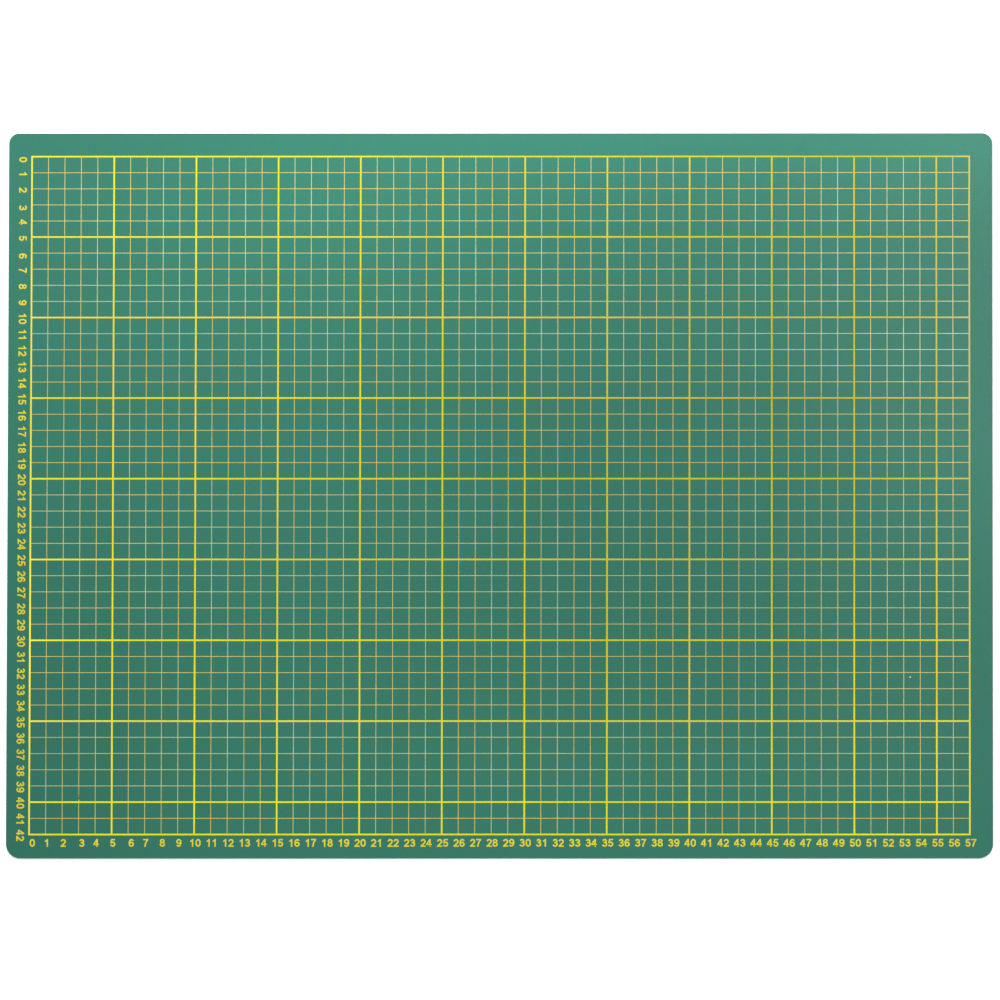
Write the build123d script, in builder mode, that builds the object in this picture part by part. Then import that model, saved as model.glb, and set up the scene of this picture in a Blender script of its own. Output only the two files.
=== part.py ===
from build123d import *
import os

# Self healing cutting mat, A2 size, for leather and craft work.
# Frame: origin at the centre of the underside, +X along the 57 cm side,
# +Y towards the end of the left scale that is numbered 0, +Z out of the printed face.
# All lengths in millimetres.

# ---------------------------------------------------------------- driving dimensions
MAT_LENGTH = 598.0  # along X
MAT_WIDTH = 449.0  # along Y
FAR_CORNER_RADIUS = 6.2  # plan radius of the two corners at +Y
NEAR_CORNER_RADIUS = 8.9  # plan radius of the two corners at -Y
EDGE_ROUND = 0.3  # soft arris of the two outer plies

BOTTOM_PLY = 0.7  # green, soft
INNER_PLY = 0.5  # white, one each side of the core
CORE_PLY = 0.6  # hard middle ply
TOP_PLY = 0.7  # green, soft, printed
MAT_THICKNESS = BOTTOM_PLY + 2 * INNER_PLY + CORE_PLY + TOP_PLY

PITCH = 10.0  # one centimetre
BOLD_EVERY = 5  # centimetres from one bold line to the next
COLUMNS = 57  # centimetres along X
ROWS = 42  # centimetres along Y
GRID_LENGTH = COLUMNS * PITCH
GRID_WIDTH = ROWS * PITCH

INK = 0.04  # how far the print stands proud of the face
BOLD_LINE = 1.0  # width of the border and of the 5 cm lines
FINE_LINE = 0.36  # width of the 1 cm lines

DIGIT_HEIGHT = 4.7
DIGIT_WIDTH = 3.06
STROKE = 0.76
DIGIT_ADVANCE = 3.63  # from one digit to the next in a number
BOTTOM_SCALE_DROP = 5.15  # from the border's centre line to the middle of the numbers
LEFT_SCALE_DROP = 5.35
SHIFT_TWO_DIGITS = 0.6  # how far a number's middle lies past its line
SHIFT_ONE_DIGIT = 0.75
SHIFT_ODD_BOTTOM = 2.0  # numbers 0, 3 and 6 lie further past their lines
SHIFT_ODD_LEFT = 1.85
ODD_NUMBERS = (0, 3, 6)

os.makedirs("parts", exist_ok=True)

# ---------------------------------------------------------------- the five plies
# All five are cut together, so they share one outline.
with BuildSketch() as mat_outline:
    Rectangle(MAT_LENGTH, MAT_WIDTH)
    fillet(mat_outline.vertices().group_by(Axis.Y)[-1], radius=FAR_CORNER_RADIUS)
    fillet(mat_outline.vertices().group_by(Axis.Y)[0], radius=NEAR_CORNER_RADIUS)

z0 = 0.0
with BuildPart() as bottom_cutting_ply:
    with BuildSketch(Plane.XY.offset(z0)):
        add(mat_outline.sketch)
    extrude(amount=BOTTOM_PLY)
    fillet(bottom_cutting_ply.faces().sort_by(Axis.Z)[0].edges(), radius=EDGE_ROUND)
bottom_cutting_ply.part.label = "bottom_cutting_ply"
export_step(bottom_cutting_ply.part, "parts/bottom_cutting_ply.step")

z1 = z0 + BOTTOM_PLY
with BuildPart() as lower_inner_ply:
    with BuildSketch(Plane.XY.offset(z1)):
        add(mat_outline.sketch)
    extrude(amount=INNER_PLY)
lower_inner_ply.part.label = "lower_inner_ply"
export_step(lower_inner_ply.part, "parts/lower_inner_ply.step")

z2 = z1 + INNER_PLY
with BuildPart() as rigid_core_ply:
    with BuildSketch(Plane.XY.offset(z2)):
        add(mat_outline.sketch)
    extrude(amount=CORE_PLY)
rigid_core_ply.part.label = "rigid_core_ply"
export_step(rigid_core_ply.part, "parts/rigid_core_ply.step")

z3 = z2 + CORE_PLY
with BuildPart() as upper_inner_ply:
    with BuildSketch(Plane.XY.offset(z3)):
        add(mat_outline.sketch)
    extrude(amount=INNER_PLY)
upper_inner_ply.part.label = "upper_inner_ply"
export_step(upper_inner_ply.part, "parts/upper_inner_ply.step")

z4 = z3 + INNER_PLY
with BuildPart() as top_cutting_ply:
    with BuildSketch(Plane.XY.offset(z4)):
        add(mat_outline.sketch)
    extrude(amount=TOP_PLY)
    fillet(top_cutting_ply.faces().sort_by(Axis.Z)[-1].edges(), radius=EDGE_ROUND)
top_cutting_ply.part.label = "top_cutting_ply"
export_step(top_cutting_ply.part, "parts/top_cutting_ply.step")

printed_face = Plane.XY.offset(z4 + TOP_PLY)


# ---------------------------------------------------------------- the printed grid
def line_x(i):
    """X of the vertical line numbered i on the bottom scale."""
    return -GRID_LENGTH / 2 + PITCH * i


def line_y(j):
    """Y of the horizontal line numbered j on the left scale."""
    return GRID_WIDTH / 2 - PITCH * j


# border: one closed line round the whole grid
with BuildPart() as grid_border_line:
    with BuildSketch(printed_face):
        Rectangle(GRID_LENGTH + BOLD_LINE, GRID_WIDTH + BOLD_LINE)
        Rectangle(GRID_LENGTH - BOLD_LINE, GRID_WIDTH - BOLD_LINE, mode=Mode.SUBTRACT)
    extrude(amount=INK)
grid_border_line.part.label = "grid_border_line"
export_step(grid_border_line.part, "parts/grid_border_line.step")

# bold lines: they end on the inner edge of the border
bold_x = [line_x(i) for i in range(BOLD_EVERY, COLUMNS, BOLD_EVERY)]
bold_y = [line_y(j) for j in range(BOLD_EVERY, ROWS, BOLD_EVERY)]
with BuildPart() as five_centimetre_lines:
    with BuildSketch(printed_face):
        with Locations(*[(x, 0) for x in bold_x]):
            Rectangle(BOLD_LINE, GRID_WIDTH - BOLD_LINE)
        with Locations(*[(0, y) for y in bold_y]):
            Rectangle(GRID_LENGTH - BOLD_LINE, BOLD_LINE)
    extrude(amount=INK)
five_centimetre_lines.part.label = "five_centimetre_lines"
export_step(five_centimetre_lines.part, "parts/five_centimetre_lines.step")

# fine lines: one lattice inside each block of the bold grid
BLOCK = BOLD_EVERY * PITCH
last_columns = COLUMNS % BOLD_EVERY  # centimetres in the narrow blocks at the right
last_rows = ROWS % BOLD_EVERY  # centimetres in the short blocks at the bottom
full_x = [line_x(i) + BLOCK / 2 for i in range(0, COLUMNS - BOLD_EVERY + 1, BOLD_EVERY)]
full_y = [line_y(j) - BLOCK / 2 for j in range(0, ROWS - BOLD_EVERY + 1, BOLD_EVERY)]
narrow_x = line_x(COLUMNS) - last_columns * PITCH / 2
short_y = line_y(ROWS) + last_rows * PITCH / 2

with BuildSketch() as full_block:
    with GridLocations(PITCH, 0, BOLD_EVERY - 1, 1):
        Rectangle(FINE_LINE, BLOCK - BOLD_LINE)
    with GridLocations(0, PITCH, 1, BOLD_EVERY - 1):
        Rectangle(BLOCK - BOLD_LINE, FINE_LINE)

with BuildSketch() as narrow_block:
    with GridLocations(PITCH, 0, last_columns - 1, 1):
        Rectangle(FINE_LINE, BLOCK - BOLD_LINE)
    with GridLocations(0, PITCH, 1, BOLD_EVERY - 1):
        Rectangle(last_columns * PITCH - BOLD_LINE, FINE_LINE)

with BuildSketch() as short_block:
    with GridLocations(PITCH, 0, BOLD_EVERY - 1, 1):
        Rectangle(FINE_LINE, last_rows * PITCH - BOLD_LINE)
    with GridLocations(0, PITCH, 1, last_rows - 1):
        Rectangle(BLOCK - BOLD_LINE, FINE_LINE)

with BuildSketch() as corner_block:
    with GridLocations(PITCH, 0, last_columns - 1, 1):
        Rectangle(FINE_LINE, last_rows * PITCH - BOLD_LINE)
    with GridLocations(0, PITCH, 1, last_rows - 1):
        Rectangle(last_columns * PITCH - BOLD_LINE, FINE_LINE)

with BuildPart() as one_centimetre_lines:
    with BuildSketch(printed_face):
        with Locations(*[(x, y) for x in full_x for y in full_y]):
            add(full_block.sketch)
        with Locations(*[(narrow_x, y) for y in full_y]):
            add(narrow_block.sketch)
        with Locations(*[(x, short_y) for x in full_x]):
            add(short_block.sketch)
        with Locations((narrow_x, short_y)):
            add(corner_block.sketch)
    extrude(amount=INK)
one_centimetre_lines.part.label = "one_centimetre_lines"
export_step(
    one_centimetre_lines.part, "parts/one_centimetre_lines.step", write_pcurves=False
)

# ---------------------------------------------------------------- the ten digits
# Each digit is drawn about the middle of its own cell, with even strokes.
TOP = DIGIT_HEIGHT / 2
SIDE = DIGIT_WIDTH / 2
HALF = STROKE / 2
BAR = 0.69  # height of the horizontal bars

with BuildSketch() as digit_0:
    with Locations((0, 0.40), (0, -0.40)):
        Ellipse(SIDE, TOP - 0.40)
    Rectangle(DIGIT_WIDTH, 0.80)
    with Locations((0, 0.40), (0, -0.40)):
        Ellipse(SIDE - STROKE, TOP - 0.40 - STROKE, mode=Mode.SUBTRACT)
    Rectangle(DIGIT_WIDTH - 2 * STROKE, 0.80, mode=Mode.SUBTRACT)

with BuildSketch() as digit_1:
    with BuildLine():
        Line((0.71, -TOP), (0.71, TOP))
        Line((0.71, TOP), (0.20, TOP))
        ThreePointArc((0.20, TOP), (-0.34, 1.72), (-1.08, 1.27))
        Line((-1.08, 1.27), (-1.08, 0.60))
        ThreePointArc((-1.08, 0.60), (-0.52, 0.85), (-0.05, 1.19))
        Line((-0.05, 1.19), (-0.05, -TOP))
        Line((-0.05, -TOP), (0.71, -TOP))
    make_face()

with BuildSketch() as digit_2:
    with BuildLine() as spine_2:
        hook_2 = EllipticalCenterArc((0.02, 0.83), 1.13, 1.14, 172, arc_size=-214)
        Line(hook_2 @ 1, (-0.95, -1.75))
    trace(spine_2.line, STROKE)
    with Locations((0, -TOP + BAR / 2)):
        Rectangle(DIGIT_WIDTH, BAR)

with BuildSketch() as digit_3:
    with BuildLine() as upper_3:
        EllipticalCenterArc((-0.05, 1.06), 1.00, 0.91, 168, arc_size=-258)
    trace(upper_3.line, STROKE)
    with BuildLine() as lower_3:
        EllipticalCenterArc((-0.03, -0.91), 1.17, 1.06, 90, arc_size=-258)
    trace(lower_3.line, STROKE)
    with Locations((-0.22, 0.15)):
        Rectangle(0.50, STROKE)

with BuildSketch() as digit_4:
    with BuildLine():
        Polyline(
            (0.16, -TOP),
            (0.92, -TOP),
            (0.92, -1.30),
            (1.45, -1.30),
            (1.45, -0.60),
            (0.92, -0.60),
            (0.92, TOP),
            (0.22, TOP),
            (-1.68, -0.55),
            (-1.68, -1.30),
            (0.16, -1.30),
            close=True,
        )
    make_face()
    with BuildLine():
        Polyline((0.16, -0.60), (0.16, 1.10), (-1.00, -0.60), close=True)
    make_face(mode=Mode.SUBTRACT)

with BuildSketch() as digit_5:
    with BuildLine():
        Polyline(
            (-0.98, TOP),
            (1.30, TOP),
            (1.30, TOP - BAR),
            (-0.43, TOP - BAR),
            (-0.66, 0.40),
            (-0.78, -0.20),
            (-1.43, -0.12),
            close=True,
        )
    make_face()
    with BuildLine() as bowl_5:
        EllipticalCenterArc((0, -0.80), 1.14, 1.17, 146, arc_size=-312)
    trace(bowl_5.line, STROKE)

with BuildSketch() as digit_6:
    with Locations((0, -0.83)):
        Ellipse(SIDE, TOP - 0.83)
        Ellipse(SIDE - STROKE, TOP - 0.83 - STROKE, mode=Mode.SUBTRACT)
    with BuildLine() as back_6:
        Line((-SIDE + HALF, -0.83), (-SIDE + HALF, 0.20))
        EllipticalCenterArc((0.05, 0.20), 1.20, 1.77, 180, arc_size=-90)
        EllipticalCenterArc((0.05, 1.00), 1.06, 0.97, 90, arc_size=-72)
    trace(back_6.line, STROKE)

with BuildSketch() as digit_7:
    with BuildLine():
        Line((-1.49, TOP), (1.50, TOP))
        Line((1.50, TOP), (1.50, 1.80))
        ThreePointArc((1.50, 1.80), (0.42, 0.00), (-0.08, -TOP))
        Line((-0.08, -TOP), (-0.86, -TOP))
        ThreePointArc((-0.86, -TOP), (-0.33, 0.00), (0.60, TOP - BAR))
        Line((0.60, TOP - BAR), (-1.49, TOP - BAR))
        Line((-1.49, TOP - BAR), (-1.49, TOP))
    make_face()

with BuildSketch() as digit_8:
    with Locations((0, 1.16)):
        Ellipse(1.37, 1.19)
    with Locations((0, -1.00)):
        Ellipse(SIDE, 1.35)
    with Locations((0, 1.12)):
        Ellipse(0.63, 0.56, mode=Mode.SUBTRACT)
    with Locations((0, -0.91)):
        Ellipse(0.78, 0.76, mode=Mode.SUBTRACT)

with BuildSketch() as digit_9:
    add(digit_6.sketch, rotation=180)

digits = [
    digit_0,
    digit_1,
    digit_2,
    digit_3,
    digit_4,
    digit_5,
    digit_6,
    digit_7,
    digit_8,
    digit_9,
]


# ---------------------------------------------------------------- the two scales
def digit_places(count, odd_shift):
    """For each digit, its distances along the scale from line 0."""
    places = {d: [] for d in range(10)}
    for n in range(count + 1):
        text = str(n)
        if len(text) == 2:
            middle = PITCH * n + SHIFT_TWO_DIGITS
        elif n in ODD_NUMBERS:
            middle = PITCH * n + odd_shift
        else:
            middle = PITCH * n + SHIFT_ONE_DIGIT
        for k, c in enumerate(text):
            places[int(c)].append(middle + (k - (len(text) - 1) / 2) * DIGIT_ADVANCE)
    return places


# bottom scale, 0 to 57, upright below the border
bottom_places = digit_places(COLUMNS, SHIFT_ODD_BOTTOM)
bottom_y = -GRID_WIDTH / 2 - BOTTOM_SCALE_DROP
with BuildPart() as bottom_scale_numbers:
    with BuildSketch(printed_face):
        for d, glyph in enumerate(digits):
            with Locations(*[(line_x(0) + s, bottom_y) for s in bottom_places[d]]):
                add(glyph.sketch)
    extrude(amount=INK)
bottom_scale_numbers.part.label = "bottom_scale_numbers"
export_step(bottom_scale_numbers.part, "parts/bottom_scale_numbers.step")

# left scale, 0 to 42, turned a quarter turn clockwise, so it reads downwards
left_places = digit_places(ROWS, SHIFT_ODD_LEFT)
left_x = -GRID_LENGTH / 2 - LEFT_SCALE_DROP
with BuildPart() as left_scale_numbers:
    with BuildSketch(printed_face):
        for d, glyph in enumerate(digits):
            turned = [
                Location((left_x, line_y(0) - s, 0), (0, 0, -90))
                for s in left_places[d]
            ]
            with Locations(*turned):
                add(glyph.sketch)
    extrude(amount=INK)
left_scale_numbers.part.label = "left_scale_numbers"
export_step(left_scale_numbers.part, "parts/left_scale_numbers.step")

for piece in (
    bottom_cutting_ply,
    lower_inner_ply,
    rigid_core_ply,
    upper_inner_ply,
    top_cutting_ply,
    grid_border_line,
    five_centimetre_lines,
    one_centimetre_lines,
    bottom_scale_numbers,
    left_scale_numbers,
):
    print(piece.part.label, len(piece.part.solids()), round(piece.part.volume, 3))
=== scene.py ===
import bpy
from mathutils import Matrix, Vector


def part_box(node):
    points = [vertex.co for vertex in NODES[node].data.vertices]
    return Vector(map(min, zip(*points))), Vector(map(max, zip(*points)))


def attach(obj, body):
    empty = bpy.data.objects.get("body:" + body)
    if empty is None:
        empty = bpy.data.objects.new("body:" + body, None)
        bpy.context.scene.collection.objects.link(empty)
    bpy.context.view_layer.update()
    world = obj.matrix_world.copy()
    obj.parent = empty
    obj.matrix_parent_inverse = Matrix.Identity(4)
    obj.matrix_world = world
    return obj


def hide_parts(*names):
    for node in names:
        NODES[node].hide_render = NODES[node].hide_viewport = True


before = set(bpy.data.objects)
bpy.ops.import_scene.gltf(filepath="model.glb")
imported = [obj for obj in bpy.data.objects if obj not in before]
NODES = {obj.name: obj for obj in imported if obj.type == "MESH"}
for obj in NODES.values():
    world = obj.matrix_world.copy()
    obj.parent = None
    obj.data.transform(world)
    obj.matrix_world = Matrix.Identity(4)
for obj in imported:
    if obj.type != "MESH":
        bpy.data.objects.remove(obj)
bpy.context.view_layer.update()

import math

import bpy
import numpy as np
from mathutils import Matrix, Vector, noise

# A self healing cutting mat: five pressed plies and the print on the top one.
# Lengths below are in millimetres; mm() turns them into metres.
MM = 0.001


def node_box(name):
    lo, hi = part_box(name)
    return np.array(lo) * 1000, np.array(hi) * 1000


(_, _, FACE_Z) = node_box("top_cutting_ply")[1]
HALF_X, HALF_Y = node_box("top_cutting_ply")[1][:2]
INK_TOP = node_box("grid_border_line")[1][2]
FAR_RADIUS, NEAR_RADIUS = 6.2, 8.9
COLUMNS, ROWS, PITCH, BOLD_EVERY = 57, 42, 10.0, 5
X0, Y0 = -COLUMNS * PITCH / 2, ROWS * PITCH / 2
BOLD_HALF, FINE_HALF = 0.5, 0.18
SPREAD = 0.07  # how far the ink of the numbers spread past their outline
SINK = 0.012  # how far the print reaches into the soft face


def wander(x, y, size, seed, amount):
    """Smooth noise over the plane, amount either way, for features of about size mm."""
    return amount * noise.noise(Vector((x / size + seed * 17.3, y / size - seed * 9.1, seed * 3.7)))


def new_object(name, verts, faces, smooth=True):
    mesh = bpy.data.meshes.new(name)
    mesh.from_pydata([tuple(v) for v in np.asarray(verts, float) * MM], [], faces)
    mesh.validate()
    mesh.update()
    mesh.polygons.foreach_set("use_smooth", [smooth] * len(mesh.polygons))
    obj = bpy.data.objects.new(name, mesh)
    bpy.context.scene.collection.objects.link(obj)
    return obj


# ------------------------------------------------------------------ materials
def material(name):
    m = bpy.data.materials.new(name)
    m.use_nodes = True
    nt = m.node_tree
    nt.nodes.clear()
    out = nt.nodes.new("ShaderNodeOutputMaterial")
    bsdf = nt.nodes.new("ShaderNodeBsdfPrincipled")
    nt.links.new(bsdf.outputs["BSDF"], out.inputs["Surface"])
    coord = nt.nodes.new("ShaderNodeTexCoord")
    return m, nt, bsdf, coord.outputs["Object"]


def noise_tex(nt, coord, scale, detail=2.0, rough=0.5, distortion=0.0):
    t = nt.nodes.new("ShaderNodeTexNoise")
    t.inputs["Scale"].default_value = scale
    t.inputs["Detail"].default_value = detail
    t.inputs["Roughness"].default_value = rough
    t.inputs["Distortion"].default_value = distortion
    nt.links.new(coord, t.inputs["Vector"])
    return t.outputs["Fac"]


def ramp(nt, value, lo, hi, a, b):
    """value from lo..hi becomes a..b, clamped."""
    r = nt.nodes.new("ShaderNodeMapRange")
    for k, v in (("From Min", lo), ("From Max", hi), ("To Min", a), ("To Max", b)):
        r.inputs[k].default_value = v
    nt.links.new(value, r.inputs["Value"])
    return r.outputs["Result"]


def math_node(nt, op, a, b):
    n = nt.nodes.new("ShaderNodeMath")
    n.operation = op
    for i, v in enumerate((a, b)):
        if isinstance(v, (int, float)):
            n.inputs[i].default_value = v
        else:
            nt.links.new(v, n.inputs[i])
    return n.outputs[0]


def mix_rgb(nt, fac, a, b, blend="MIX"):
    n = nt.nodes.new("ShaderNodeMix")
    n.data_type = "RGBA"
    n.blend_type = blend
    n.clamp_factor = True
    if isinstance(fac, (int, float)):
        n.inputs[0].default_value = fac
    else:
        nt.links.new(fac, n.inputs[0])
    for sock, v in ((n.inputs[6], a), (n.inputs[7], b)):
        if isinstance(v, tuple):
            sock.default_value = (*v, 1.0)
        else:
            nt.links.new(v, sock)
    return n.outputs[2]


def bump(nt, bsdf, height, distance, strength=1.0):
    b = nt.nodes.new("ShaderNodeBump")
    b.inputs["Distance"].default_value = distance
    b.inputs["Strength"].default_value = strength
    nt.links.new(height, b.inputs["Height"])
    nt.links.new(b.outputs["Normal"], bsdf.inputs["Normal"])


def spot(nt, coord, x, y, radius, soft, scale=1500.0):
    """1 inside a small ragged mark at (x, y) mm on the plan, 0 outside it."""
    sep = nt.nodes.new("ShaderNodeSeparateXYZ")
    nt.links.new(coord, sep.inputs[0])
    dx = math_node(nt, "SUBTRACT", sep.outputs[0], x * MM)
    dy = math_node(nt, "SUBTRACT", sep.outputs[1], y * MM)
    d = math_node(
        nt, "SQRT", math_node(nt, "ADD", math_node(nt, "MULTIPLY", dx, dx), math_node(nt, "MULTIPLY", dy, dy)), 0.0
    )
    rag = ramp(nt, noise_tex(nt, coord, scale, 2.0), 0.3, 0.7, -0.35 * radius * MM, 0.35 * radius * MM)
    d = math_node(nt, "ADD", d, rag)
    return ramp(nt, d, (radius - soft) * MM, (radius + soft) * MM, 1.0, 0.0)


GREEN = (0.0269, 0.1628, 0.1116)

# Painted light and shade on the printed face, broad soft patches made lighter or darker: middle, half widths (mm), and
# how much lighter.
FACE_PAINTED_LIGHT_PATCHES = (
    (-112.0, 173.0, 112.0, 62.5, 0.11),
    (67.0, 235.0, 260.0, 50.0, 0.11),
    (167.0, 239.0, 258.0, 50.0, 0.11),
    (117.0, -184.0, 260.0, 75.0, 0.11),
    (81.0, -8.0, 135.0, 170.0, -0.11),
    (-286.0, -156.0, 71.0, 220.0, -0.08),
    (298.0, 16.0, 60.0, 78.0, 0.11),
    (283.0, 218.0, 60.0, 50.0, 0.11),
)


# The same columns for painted light and shade on each print: broad patches where the ink is made lighter or darker.
BOLD_PAINTED_LIGHT = (
    (-27.0, -186.0, 264.0, 93.0, 0.32),
    (-316.0, -96.0, 80.0, 99.0, 0.36),
    (255.0, -12.0, 291.0, 400.0, -0.50),
    (262.0, -260.0, 132.0, 288.0, 0.55),
    (0.0, 240.0, 400.0, 80.0, 0.06),
)
FINE_PAINTED_LIGHT = (
    (-36.0, -260.0, 348.0, 159.0, 0.44),
    (-241.0, -36.0, 207.0, 117.0, 0.24),
    (-104.0, 174.0, 363.0, 80.0, 0.32),
    (320.0, 35.0, 112.0, 274.0, 0.50),
)
# Painted sheen on the bold and fine print: broad patches where the ink goes paler, towards cream.
BOLD_PAINTED_SHEEN = ((302.0, 90.0, 32.0, 150.0, 0.15), (-292.0, 0.0, 14.0, 400.0, 0.07))
FINE_PAINTED_SHEEN = ((300.0, 40.0, 55.0, 170.0, 0.08), (210.0, 150.0, 130.0, 90.0, 0.06), (0.0, 235.0, 400.0, 45.0, 0.04))
NUMBER_PAINTED_LIGHT = ((0.0, -260.0, 400.0, 140.0, 0.18),)


def tone(nt, coord, patches):
    """1 plus the sum of broad soft patches on the plan."""
    sep = nt.nodes.new("ShaderNodeSeparateXYZ")
    nt.links.new(coord, sep.inputs[0])
    total = 1.0
    for cx, cy, sx, sy, amount in patches:
        q = []
        for axis, c, size in ((0, cx, sx), (1, cy, sy)):
            d = math_node(nt, "MULTIPLY", math_node(nt, "SUBTRACT", sep.outputs[axis], c * MM), 1000.0 / size)
            q.append(math_node(nt, "MULTIPLY", d, d))
        fall = math_node(nt, "EXPONENT", math_node(nt, "MULTIPLY", math_node(nt, "ADD", *q), -1.0), 0.0)
        total = math_node(nt, "ADD", math_node(nt, "MULTIPLY", fall, amount), total)
    return total


def scaled(nt, colour, factor):
    n = nt.nodes.new("ShaderNodeVectorMath")
    n.operation = "SCALE"
    nt.links.new(colour, n.inputs[0])
    nt.links.new(factor, n.inputs["Scale"])
    return n.outputs[0]


def pvc_green(name, base, marks=False):
    """Calendered soft PVC: matt, with a very fine pebble, cloudy colour and a few darker grains."""
    m, nt, bsdf, co = material(name)
    cloud = noise_tex(nt, co, 7.0, 4.0, 0.55, 0.4)
    patch = noise_tex(nt, co, 110.0, 3.0, 0.6)
    streak_map = nt.nodes.new("ShaderNodeMapping")
    streak_map.inputs["Scale"].default_value = (1.0, 0.06, 1.0)
    nt.links.new(co, streak_map.inputs["Vector"])
    streak = noise_tex(nt, streak_map.outputs["Vector"], 260.0, 2.0, 0.5)
    grain = noise_tex(nt, co, 1900.0, 2.0, 0.6)
    dark = tuple(c * k for c, k in zip(base, (0.93, 0.975, 0.975)))
    light = tuple(c * k for c, k in zip(base, (1.07, 1.025, 1.025)))
    col = mix_rgb(nt, ramp(nt, cloud, 0.32, 0.68, 0.0, 1.0), dark, light)
    col = mix_rgb(
        nt,
        ramp(nt, patch, 0.35, 0.65, 0.0, 0.5),
        col,
        tuple(c * k for c, k in zip(base, (1.20, 1.02, 0.86))),
    )
    col = mix_rgb(
        nt,
        ramp(nt, streak, 0.40, 0.60, 0.0, 0.35),
        col,
        tuple(c * k for c, k in zip(base, (0.90, 1.00, 1.14))),
    )
    shade = ramp(nt, grain, 0.30, 0.70, 0.0, 1.0)
    col = mix_rgb(nt, math_node(nt, "MULTIPLY", shade, 0.5), col, tuple(c * 1.10 for c in base))
    shade2 = ramp(nt, grain, 0.22, 0.40, 0.40, 0.0)
    col = mix_rgb(nt, shade2, col, tuple(c * 0.60 for c in base))
    if marks:
        # painted light and shade: broad patches of the printed face made lighter or darker
        col = scaled(nt, col, tone(nt, co, FACE_PAINTED_LIGHT_PATCHES))
        # the two small marks of use on the printed face
        x, y = MARKS["dark_fleck"]
        for dx in (-0.5, 0.4):
            mark = math_node(nt, "MULTIPLY", spot(nt, co, x + dx, y, 0.42, 0.3), 0.62)
            col = mix_rgb(nt, mark, col, (0.008, 0.040, 0.032))
        x, y = MARKS["pale_fleck"]
        col = mix_rgb(nt, spot(nt, co, x, y, 0.50, 0.18), col, (0.60, 0.64, 0.62))
    nt.links.new(col, bsdf.inputs["Base Color"])
    nt.links.new(
        ramp(nt, noise_tex(nt, co, 420.0, 3.0, 0.6), 0.3, 0.7, 0.56, 0.66),
        bsdf.inputs["Roughness"],
    )
    bsdf.inputs["Specular IOR Level"].default_value = 0.16
    bsdf.inputs["IOR"].default_value = 1.48
    pebble = nt.nodes.new("ShaderNodeTexVoronoi")
    pebble.feature = "SMOOTH_F1"
    pebble.inputs["Scale"].default_value = 1400.0
    nt.links.new(co, pebble.inputs["Vector"])
    h = math_node(nt, "ADD", math_node(nt, "MULTIPLY", pebble.outputs["Distance"], 0.7), grain)
    bump(nt, bsdf, h, 0.00004, 0.55)
    return m


def pvc_plain(name, base, dirt, rough, scale=350.0, sheen=False):
    """A pressed inner ply, seen only at the cut edge."""
    m, nt, bsdf, co = material(name)
    cloud = noise_tex(nt, co, 55.0, 4.0, 0.6)
    speck = noise_tex(nt, co, scale * 4, 2.0, 0.6)
    col = mix_rgb(nt, ramp(nt, cloud, 0.35, 0.75, 0.0, 0.55), base, dirt)
    col = mix_rgb(nt, ramp(nt, speck, 0.55, 0.75, 0.0, 0.35), col, tuple(c * 0.7 for c in dirt))
    nt.links.new(col, bsdf.inputs["Base Color"])
    nt.links.new(ramp(nt, speck, 0.3, 0.7, rough - 0.06, rough + 0.08), bsdf.inputs["Roughness"])
    cut_map = nt.nodes.new("ShaderNodeMapping")
    cut_map.inputs["Scale"].default_value = (1.0, 1.0, 0.15)
    nt.links.new(co, cut_map.inputs["Vector"])
    cut = noise_tex(nt, cut_map.outputs["Vector"], scale * 3, 3.0, 0.6)
    bump(nt, bsdf, cut, 0.00003, 0.5)
    return m


def ink(name, base, thin, patches, cover=0.12, pale=()):
    """Screen printed ink: nearly opaque, a little thinner in places, with the face's pebble showing through."""
    m, nt, bsdf, co = material(name)
    wear = noise_tex(nt, co, 38.0, 4.0, 0.62, 0.3)
    pin = noise_tex(nt, co, 1500.0, 2.0, 0.6)
    drift = noise_tex(nt, co, 11.0, 3.0, 0.5)
    col = mix_rgb(
        nt,
        ramp(nt, drift, 0.35, 0.65, 0.0, 1.0),
        tuple(c * 0.95 for c in base),
        tuple(min(c * 1.05, 1.0) for c in base),
    )
    col = mix_rgb(nt, ramp(nt, wear, 0.38, 0.75, 0.0, cover), col, thin)
    col = mix_rgb(nt, ramp(nt, pin, 0.68, 0.82, 0.0, 0.30), col, thin)
    # painted light and shade: the ink made lighter or darker in broad patches
    col = scaled(nt, col, tone(nt, co, patches))
    if pale:
        # painted sheen: the ink made paler, towards cream, in broad patches, mostly at the right edge
        col = mix_rgb(nt, math_node(nt, "SUBTRACT", tone(nt, co, pale), 1.0), col, (0.15, 0.25, 1.0), "ADD")
    nt.links.new(col, bsdf.inputs["Base Color"])
    nt.links.new(ramp(nt, pin, 0.3, 0.7, 0.42, 0.58), bsdf.inputs["Roughness"])
    bsdf.inputs["Specular IOR Level"].default_value = 0.22
    bsdf.inputs["IOR"].default_value = 1.5
    bump(nt, bsdf, pin, 0.00002, 0.5)
    return m


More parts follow.
